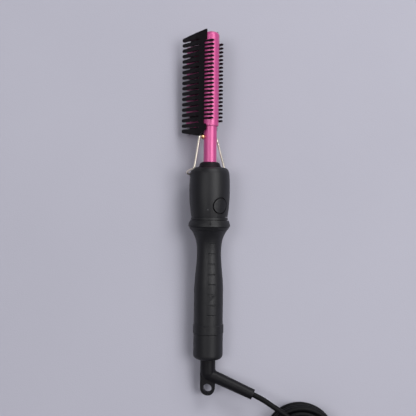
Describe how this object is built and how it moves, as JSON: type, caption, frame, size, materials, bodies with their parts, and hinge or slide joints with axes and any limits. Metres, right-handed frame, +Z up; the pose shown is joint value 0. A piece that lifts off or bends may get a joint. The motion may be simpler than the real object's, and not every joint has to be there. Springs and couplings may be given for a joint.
{
  "type": "electric hot comb",
  "caption": "Electric hot comb with a coated metal comb between two plastic tooth guards, a folding wire stand, a heat dial, a push button and a swivelling cord.",
  "frame": {"origin": "on the table under the middle of the comb's own box, with the cord and its plug left out", "axes": "+Y from the cord's end to the comb's tip, +X to the side the strain relief points to, +Z up from the table"},
  "size_m": [0.1314, 0.3664, 0.0362],
  "materials": {
    "handle_plastic": "satin black",
    "collar_plastic": "matte black",
    "button_plastic": "satin black",
    "guard_plastic": "glossy black",
    "pink_metal": "satin metallic pink coating",
    "stand_wire": "pale satin brass",
    "brass": "satin",
    "screw_steel": "satin",
    "pin_metal": "nickel, bright",
    "insulator": "matte cream",
    "insulator_black": "matte black",
    "ceramic": "fired ceramic, matte",
    "lead_red": "matte red",
    "lead_white": "matte white",
    "board_green": "matte green",
    "track_board": "matte brown",
    "component": "matte black",
    "lamp": "clear",
    "boot_rubber": "matte black",
    "cord": "matte black"
  },
  "bodies": {
    "cord_set": {"cord_boot": "boot_rubber", "swivel_spigot": "insulator_black", "contact_rings": "brass", "cord_lead": "cord", "cord_coil": "cord", "cord_tail": "cord", "plug_body": "boot_rubber", "plug_pins": "pin_metal"},
    "handle": {"front_casing": "handle_plastic", "rear_casing": "handle_plastic", "casing_screws": "screw_steel", "nose_collar": "collar_plastic", "grip": "handle_plastic", "tail_ring": "handle_plastic", "tail_cap": "handle_plastic", "terminal_block": "insulator", "swivel_contacts": "brass", "supply_leads": "lead_red", "control_board": "board_green", "board_components": "component", "tact_switch": "component", "indicator_led": "lamp", "indicator_lens": "lamp", "dial_track": "track_board", "neck_tube": "pink_metal", "insulating_sleeve": "ceramic", "neck_screw": "brass", "stand_bushes": "brass", "comb_barrel": "pink_metal", "heater": "ceramic", "thermistor": "component", "heater_leads": "lead_white", "front_guard": "guard_plastic", "rear_guard": "guard_plastic"},
    "dial": {"heat_dial": "handle_plastic", "dial_wiper": "brass"},
    "button": {"power_button": "button_plastic", "switch_plunger": "screw_steel"},
    "stand": {"wire_stand": "stand_wire"}
  },
  "joints": [
    {"name": "cord_swivel", "type": "hinge", "parent": "cord_set", "child": "handle", "pos_m": [-0.00726, -0.11546, 0.01154], "axis": [0, 0.9985, 0.0539], "continuous": true},
    {"name": "dial_turn", "type": "hinge", "parent": "handle", "child": "dial", "pos_m": [-0.00726, -0.00791, 0.01735], "axis": [0, 0.9985, 0.0539], "range_deg": [0, 270]},
    {"name": "button_press", "type": "slide", "parent": "handle", "child": "button", "axis": [-0.557, 0.0448, -0.8293], "range_m": [0, 0.0008], "stiffness_N_per_m": 500, "springref_m": -0.001},
    {"name": "stand_swing", "type": "hinge", "parent": "handle", "child": "stand", "pos_m": [-0.00894, 0.06286, 0.01975], "axis": [0.6449, 0.0412, -0.7632], "range_deg": [0, 90]}
  ]
}
